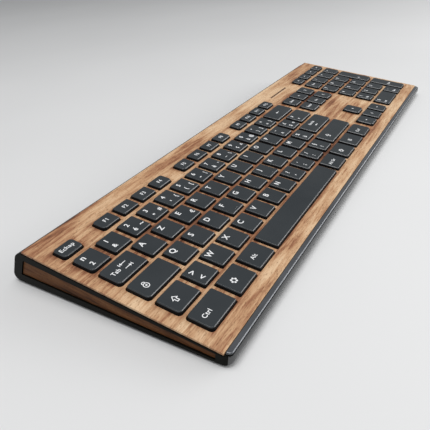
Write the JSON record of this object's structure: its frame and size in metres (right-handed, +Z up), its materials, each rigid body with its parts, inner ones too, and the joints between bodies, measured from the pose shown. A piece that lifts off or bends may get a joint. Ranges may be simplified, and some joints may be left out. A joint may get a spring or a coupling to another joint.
{
  "type": "keyboard",
  "caption": "Slim full-size keyboard with a wooden top, dark flat keys, wooden end inlays and a wedge-shaped dark case; every key bank presses down.",
  "frame": {"origin": "centre of the bounding box at the surface that the rubber feet stand on", "axes": "+X to the right along the key rows, +Y towards the back edge, +Z up"},
  "size_m": [0.4402, 0.152, 0.0262],
  "materials": {
    "walnut": "satin oiled veneer",
    "dark_walnut": "satin, dark stained",
    "case_plastic": "satin charcoal",
    "key_plastic": "matt, fine grain",
    "trim_metal": "gloss dark grey",
    "smoked_window": "smoked",
    "silicone": "translucent matt",
    "film": "clear film with printed tracks",
    "plate_steel": "rolled",
    "circuit_board": "solder mask",
    "battery_steel": "plain sleeve",
    "foot_rubber": "matt"
  },
  "bodies": {
    "case": {"case_shell": "case_plastic", "side_inlay_left": "dark_walnut", "side_inlay_right": "dark_walnut", "front_trim": "trim_metal", "wood_top_panel": "walnut", "status_window": "smoked_window", "dome_sheet": "silicone", "circuit_membrane": "film", "key_plate": "plate_steel", "bottom_cover": "case_plastic", "controller_board": "circuit_board", "battery_left": "battery_steel", "battery_right": "battery_steel", "rubber_foot_front_left": "foot_rubber", "rubber_foot_front_right": "foot_rubber", "rubber_foot_back_left": "foot_rubber", "rubber_foot_back_right": "foot_rubber"},
    "key_escape": {"key_escape": "key_plastic"},
    "keys_f1_f4": {"keys_f1_f4": "key_plastic"},
    "keys_f5_f8": {"keys_f5_f8": "key_plastic"},
    "keys_f9_f12": {"keys_f9_f12": "key_plastic"},
    "keys_media": {"keys_media": "key_plastic"},
    "keys_numbers_left": {"keys_numbers_left": "key_plastic"},
    "keys_numbers_right": {"keys_numbers_right": "key_plastic"},
    "key_backspace": {"key_backspace": "key_plastic"},
    "key_tab": {"key_tab": "key_plastic"},
    "keys_letters_top_left": {"keys_letters_top_left": "key_plastic"},
    "keys_letters_top_right": {"keys_letters_top_right": "key_plastic"},
    "key_asterisk": {"key_asterisk": "key_plastic"},
    "key_caps_lock": {"key_caps_lock": "key_plastic"},
    "keys_letters_home_left": {"keys_letters_home_left": "key_plastic"},
    "keys_letters_home_right": {"keys_letters_home_right": "key_plastic"},
    "key_enter": {"key_enter": "key_plastic"},
    "key_left_shift": {"key_left_shift": "key_plastic"},
    "keys_letters_low_left": {"keys_letters_low_left": "key_plastic"},
    "keys_letters_low_right": {"keys_letters_low_right": "key_plastic"},
    "key_right_shift": {"key_right_shift": "key_plastic"},
    "key_left_ctrl": {"key_left_ctrl": "key_plastic"},
    "key_left_system": {"key_left_system": "key_plastic"},
    "key_left_alt": {"key_left_alt": "key_plastic"},
    "key_space": {"key_space": "key_plastic"},
    "key_right_alt": {"key_right_alt": "key_plastic"},
    "key_right_system": {"key_right_system": "key_plastic"},
    "key_menu": {"key_menu": "key_plastic"},
    "key_right_ctrl": {"key_right_ctrl": "key_plastic"},
    "key_arrow_up": {"key_arrow_up": "key_plastic"},
    "key_arrow_left": {"key_arrow_left": "key_plastic"},
    "key_arrow_down": {"key_arrow_down": "key_plastic"},
    "key_arrow_right": {"key_arrow_right": "key_plastic"},
    "keys_navigation": {"keys_navigation": "key_plastic"},
    "keys_numpad_top": {"keys_numpad_top": "key_plastic"},
    "keys_numpad_digits": {"keys_numpad_digits": "key_plastic"},
    "key_numpad_zero": {"key_numpad_zero": "key_plastic"},
    "key_numpad_decimal": {"key_numpad_decimal": "key_plastic"},
    "key_numpad_plus": {"key_numpad_plus": "key_plastic"},
    "key_numpad_enter": {"key_numpad_enter": "key_plastic"},
    "battery_door": {"battery_door": "case_plastic"},
    "power_switch": {"power_switch": "case_plastic"},
    "tilt_leg_left": {"tilt_leg_left": "case_plastic"},
    "tilt_leg_right": {"tilt_leg_right": "case_plastic"}
  },
  "joints": [
    {"name": "key_escape_press", "type": "slide", "parent": "case", "child": "key_escape", "axis": [0, 0.1219, -0.9925], "range_m": [0, 0.0018], "stiffness_N_per_m": 150, "springref_m": -0.002},
    {"name": "keys_f1_f4_press", "type": "slide", "parent": "case", "child": "keys_f1_f4", "axis": [0, 0.1219, -0.9925], "range_m": [0, 0.0018], "stiffness_N_per_m": 600, "springref_m": -0.002},
    {"name": "keys_f5_f8_press", "type": "slide", "parent": "case", "child": "keys_f5_f8", "axis": [0, 0.1219, -0.9925], "range_m": [0, 0.0018], "stiffness_N_per_m": 600, "springref_m": -0.002},
    {"name": "keys_f9_f12_press", "type": "slide", "parent": "case", "child": "keys_f9_f12", "axis": [0, 0.1219, -0.9925], "range_m": [0, 0.0018], "stiffness_N_per_m": 600, "springref_m": -0.002},
    {"name": "keys_media_press", "type": "slide", "parent": "case", "child": "keys_media", "axis": [0, 0.1219, -0.9925], "range_m": [0, 0.0018], "stiffness_N_per_m": 600, "springref_m": -0.002},
    {"name": "keys_numbers_left_press", "type": "slide", "parent": "case", "child": "keys_numbers_left", "axis": [0, 0.1219, -0.9925], "range_m": [0, 0.0018], "stiffness_N_per_m": 1050, "springref_m": -0.002},
    {"name": "keys_numbers_right_press", "type": "slide", "parent": "case", "child": "keys_numbers_right", "axis": [0, 0.1219, -0.9925], "range_m": [0, 0.0018], "stiffness_N_per_m": 900, "springref_m": -0.002},
    {"name": "key_backspace_press", "type": "slide", "parent": "case", "child": "key_backspace", "axis": [0, 0.1219, -0.9925], "range_m": [0, 0.0018], "stiffness_N_per_m": 150, "springref_m": -0.002},
    {"name": "key_tab_press", "type": "slide", "parent": "case", "child": "key_tab", "axis": [0, 0.1219, -0.9925], "range_m": [0, 0.0018], "stiffness_N_per_m": 150, "springref_m": -0.002},
    {"name": "keys_letters_top_left_press", "type": "slide", "parent": "case", "child": "keys_letters_top_left", "axis": [0, 0.1219, -0.9925], "range_m": [0, 0.0018], "stiffness_N_per_m": 900, "springref_m": -0.002},
    {"name": "keys_letters_top_right_press", "type": "slide", "parent": "case", "child": "keys_letters_top_right", "axis": [0, 0.1219, -0.9925], "range_m": [0, 0.0018], "stiffness_N_per_m": 900, "springref_m": -0.002},
    {"name": "key_asterisk_press", "type": "slide", "parent": "case", "child": "key_asterisk", "axis": [0, 0.1219, -0.9925], "range_m": [0, 0.0018], "stiffness_N_per_m": 150, "springref_m": -0.002},
    {"name": "key_caps_lock_press", "type": "slide", "parent": "case", "child": "key_caps_lock", "axis": [0, 0.1219, -0.9925], "range_m": [0, 0.0018], "stiffness_N_per_m": 150, "springref_m": -0.002},
    {"name": "keys_letters_home_left_press", "type": "slide", "parent": "case", "child": "keys_letters_home_left", "axis": [0, 0.1219, -0.9925], "range_m": [0, 0.0018], "stiffness_N_per_m": 900, "springref_m": -0.002},
    {"name": "keys_letters_home_right_press", "type": "slide", "parent": "case", "child": "keys_letters_home_right", "axis": [0, 0.1219, -0.9925], "range_m": [0, 0.0018], "stiffness_N_per_m": 750, "springref_m": -0.002},
    {"name": "key_enter_press", "type": "slide", "parent": "case", "child": "key_enter", "axis": [0, 0.1219, -0.9925], "range_m": [0, 0.0018], "stiffness_N_per_m": 150, "springref_m": -0.002},
    {"name": "key_left_shift_press", "type": "slide", "parent": "case", "child": "key_left_shift", "axis": [0, 0.1219, -0.9925], "range_m": [0, 0.0018], "stiffness_N_per_m": 150, "springref_m": -0.002},
    {"name": "keys_letters_low_left_press", "type": "slide", "parent": "case", "child": "keys_letters_low_left", "axis": [0, 0.1219, -0.9925], "range_m": [0, 0.0018], "stiffness_N_per_m": 900, "springref_m": -0.002},
    {"name": "keys_letters_low_right_press", "type": "slide", "parent": "case", "child": "keys_letters_low_right", "axis": [0, 0.1219, -0.9925], "range_m": [0, 0.0018], "stiffness_N_per_m": 750, "springref_m": -0.002},
    {"name": "key_right_shift_press", "type": "slide", "parent": "case", "child": "key_right_shift", "axis": [0, 0.1219, -0.9925], "range_m": [0, 0.0018], "stiffness_N_per_m": 150, "springref_m": -0.002},
    {"name": "key_left_ctrl_press", "type": "slide", "parent": "case", "child": "key_left_ctrl", "axis": [0, 0.1219, -0.9925], "range_m": [0, 0.0018], "stiffness_N_per_m": 150, "springref_m": -0.002},
    {"name": "key_left_system_press", "type": "slide", "parent": "case", "child": "key_left_system", "axis": [0, 0.1219, -0.9925], "range_m": [0, 0.0018], "stiffness_N_per_m": 150, "springref_m": -0.002},
    {"name": "key_left_alt_press", "type": "slide", "parent": "case", "child": "key_left_alt", "axis": [0, 0.1219, -0.9925], "range_m": [0, 0.0018], "stiffness_N_per_m": 150, "springref_m": -0.002},
    {"name": "key_space_press", "type": "slide", "parent": "case", "child": "key_space", "axis": [0, 0.1219, -0.9925], "range_m": [0, 0.0018], "stiffness_N_per_m": 150, "springref_m": -0.002},
    {"name": "key_right_alt_press", "type": "slide", "parent": "case", "child": "key_right_alt", "axis": [0, 0.1219, -0.9925], "range_m": [0, 0.0018], "stiffness_N_per_m": 150, "springref_m": -0.002},
    {"name": "key_right_system_press", "type": "slide", "parent": "case", "child": "key_right_system", "axis": [0, 0.1219, -0.9925], "range_m": [0, 0.0018], "stiffness_N_per_m": 150, "springref_m": -0.002},
    {"name": "key_menu_press", "type": "slide", "parent": "case", "child": "key_menu", "axis": [0, 0.1219, -0.9925], "range_m": [0, 0.0018], "stiffness_N_per_m": 150, "springref_m": -0.002},
    {"name": "key_right_ctrl_press", "type": "slide", "parent": "case", "child": "key_right_ctrl", "axis": [0, 0.1219, -0.9925], "range_m": [0, 0.0018], "stiffness_N_per_m": 150, "springref_m": -0.002},
    {"name": "key_arrow_up_press", "type": "slide", "parent": "case", "child": "key_arrow_up", "axis": [0, 0.1219, -0.9925], "range_m": [0, 0.0018], "stiffness_N_per_m": 150, "springref_m": -0.002},
    {"name": "key_arrow_left_press", "type": "slide", "parent": "case", "child": "key_arrow_left", "axis": [0, 0.1219, -0.9925], "range_m": [0, 0.0018], "stiffness_N_per_m": 150, "springref_m": -0.002},
    {"name": "key_arrow_down_press", "type": "slide", "parent": "case", "child": "key_arrow_down", "axis": [0, 0.1219, -0.9925], "range_m": [0, 0.0018], "stiffness_N_per_m": 150, "springref_m": -0.002},
    {"name": "key_arrow_right_press", "type": "slide", "parent": "case", "child": "key_arrow_right", "axis": [0, 0.1219, -0.9925], "range_m": [0, 0.0018], "stiffness_N_per_m": 150, "springref_m": -0.002},
    {"name": "keys_navigation_press", "type": "slide", "parent": "case", "child": "keys_navigation", "axis": [0, 0.1219, -0.9925], "range_m": [0, 0.0018], "stiffness_N_per_m": 900, "springref_m": -0.002},
    {"name": "keys_numpad_top_press", "type": "slide", "parent": "case", "child": "keys_numpad_top", "axis": [0, 0.1219, -0.9925], "range_m": [0, 0.0018], "stiffness_N_per_m": 600, "springref_m": -0.002},
    {"name": "keys_numpad_digits_press", "type": "slide", "parent": "case", "child": "keys_numpad_digits", "axis": [0, 0.1219, -0.9925], "range_m": [0, 0.0018], "stiffness_N_per_m": 1350, "springref_m": -0.002},
    {"name": "key_numpad_zero_press", "type": "slide", "parent": "case", "child": "key_numpad_zero", "axis": [0, 0.1219, -0.9925], "range_m": [0, 0.0018], "stiffness_N_per_m": 150, "springref_m": -0.002},
    {"name": "key_numpad_decimal_press", "type": "slide", "parent": "case", "child": "key_numpad_decimal", "axis": [0, 0.1219, -0.9925], "range_m": [0, 0.0018], "stiffness_N_per_m": 150, "springref_m": -0.002},
    {"name": "key_numpad_plus_press", "type": "slide", "parent": "case", "child": "key_numpad_plus", "axis": [0, 0.1219, -0.9925], "range_m": [0, 0.0018], "stiffness_N_per_m": 150, "springref_m": -0.002},
    {"name": "key_numpad_enter_press", "type": "slide", "parent": "case", "child": "key_numpad_enter", "axis": [0, 0.1219, -0.9925], "range_m": [0, 0.0018], "stiffness_N_per_m": 150, "springref_m": -0.002},
    {"name": "power_switch_slide", "type": "slide", "parent": "case", "child": "power_switch", "axis": [1, 0, 0], "range_m": [0, 0.004]},
    {"name": "tilt_leg_left_hinge", "type": "hinge", "parent": "case", "child": "tilt_leg_left", "pos_m": [-0.19175, 0.05484, 0.0034], "axis": [1, 0, 0], "range_deg": [0, 90]},
    {"name": "tilt_leg_right_hinge", "type": "hinge", "parent": "case", "child": "tilt_leg_right", "pos_m": [0.19175, 0.05484, 0.0034], "axis": [1, 0, 0], "range_deg": [0, 90]},
    {"name": "battery_door_hinge", "type": "hinge", "parent": "case", "child": "battery_door", "pos_m": [0, 0.04824, 0.00275], "axis": [1, 0, 0], "range_deg": [0, 90]}
  ]
}
